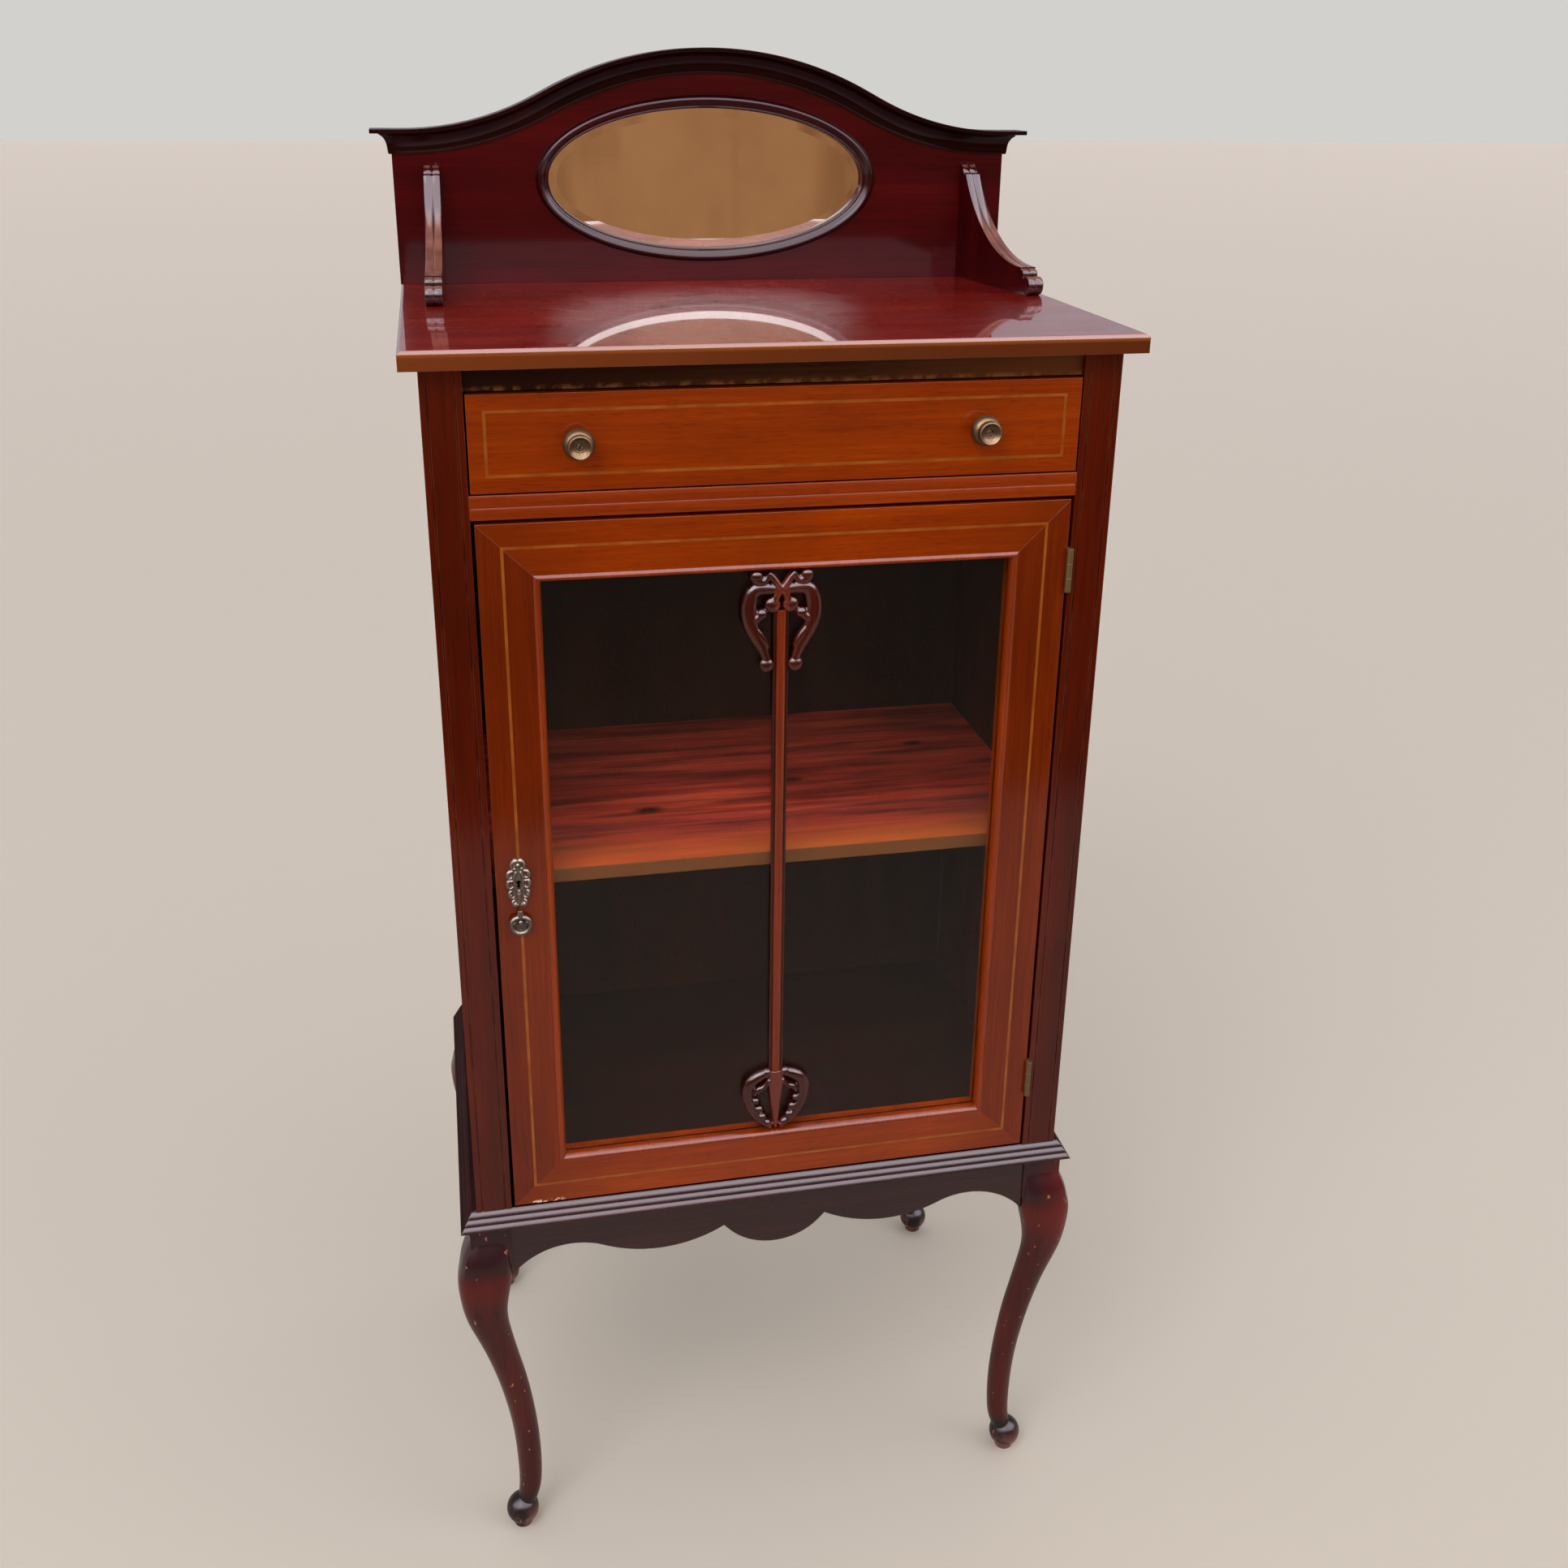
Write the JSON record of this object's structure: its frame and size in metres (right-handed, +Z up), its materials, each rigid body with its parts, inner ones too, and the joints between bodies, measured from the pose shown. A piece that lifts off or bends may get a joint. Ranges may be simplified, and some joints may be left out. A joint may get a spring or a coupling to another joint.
{
  "type": "music cabinet",
  "caption": "Glazed mahogany music cabinet on a cabriole stand, with a drawer over a glass door, an inner shelf and an arched gallery with an oval mirror.",
  "frame": {"origin": "on the floor under the middle of the cabinet's overall box", "axes": "+Z up, the front with its door faces -Y, +X to the right of someone facing the front"},
  "size_m": [0.624, 0.403, 1.389],
  "materials": {
    "stand_wood": "dark polished mahogany, worn on the legs",
    "softwood": "unfinished softwood, darkened by age",
    "dark_mahogany": "dark red polished mahogany",
    "red_mahogany": "glossy dark red mahogany",
    "warm_mahogany": "polished orange-brown mahogany",
    "stained_pine": "stained pine with knots, paler front edge",
    "inlaid_line": "thin inlaid boxwood line under polish",
    "clear_glass": "clear window glass",
    "mirror_glass": "silvered glass with a ground bevel",
    "aged_brass": "aged brass, grey in the hollows"
  },
  "bodies": {
    "cabinet": {"leg_front_left": "stand_wood", "leg_front_right": "stand_wood", "leg_back_left": "stand_wood", "leg_back_right": "stand_wood", "apron_front": "stand_wood", "apron_left": "stand_wood", "apron_right": "stand_wood", "stand_back_rail": "stand_wood", "corner_blocks": "softwood", "base_moulding_front": "stand_wood", "base_moulding_sides": "stand_wood", "side_left": "dark_mahogany", "side_right": "dark_mahogany", "stile_left": "dark_mahogany", "stile_right": "dark_mahogany", "bottom_board": "softwood", "back_board": "softwood", "top_rail": "softwood", "drawer_rail": "warm_mahogany", "drawer_runners": "softwood", "drawer_kickers": "softwood", "shelf": "stained_pine", "shelf_bearers": "softwood", "top_board": "red_mahogany", "gallery_panel": "red_mahogany", "cornice": "dark_mahogany", "mirror_glass": "mirror_glass", "mirror_moulding": "dark_mahogany", "mirror_backboard": "softwood", "bracket_left": "red_mahogany", "bracket_right": "red_mahogany", "gallery_screws": "aged_brass", "hinge_leaves_carcass": "aged_brass", "hinge_screws_carcass": "aged_brass"},
    "drawer": {"drawer_front": "warm_mahogany", "drawer_side_left": "softwood", "drawer_side_right": "softwood", "drawer_back": "softwood", "drawer_bottom": "softwood", "drawer_stringing": "inlaid_line", "drawer_knobs": "aged_brass", "knob_screws": "aged_brass"},
    "door": {"door_stile_lock": "warm_mahogany", "door_stile_hinge": "warm_mahogany", "door_rail_top": "warm_mahogany", "door_rail_bottom": "warm_mahogany", "door_stringing": "inlaid_line", "door_glass": "clear_glass", "glazing_beads": "warm_mahogany", "glass_retainers": "warm_mahogany", "centre_bar": "red_mahogany", "carving_top": "red_mahogany", "carving_bottom": "red_mahogany", "escutcheon": "aged_brass", "lock_case": "aged_brass", "lock_fixings": "aged_brass", "hinge_leaves_door": "aged_brass", "hinge_screws_door": "aged_brass"},
    "drop_pull": {"drop_pull": "aged_brass"},
    "lock_bolt": {"lock_bolt": "aged_brass"}
  },
  "joints": [
    {"name": "drawer_slide", "type": "slide", "parent": "cabinet", "child": "drawer", "axis": [0, -1, 0], "range_m": [0, 0.25]},
    {"name": "door_swing", "type": "hinge", "parent": "cabinet", "child": "door", "pos_m": [0.2465, -0.1805, 0.71675], "axis": [0, 0, 1], "range_deg": [0, 110]},
    {"name": "pull_swing", "type": "hinge", "parent": "door", "child": "drop_pull", "pos_m": [-0.226, -0.1827, 0.701], "axis": [-1, 0, 0], "range_deg": [0, 80]},
    {"name": "lock_bolt_throw", "type": "slide", "parent": "door", "child": "lock_bolt", "axis": [-1, 0, 0], "range_m": [0, 0.007]}
  ]
}
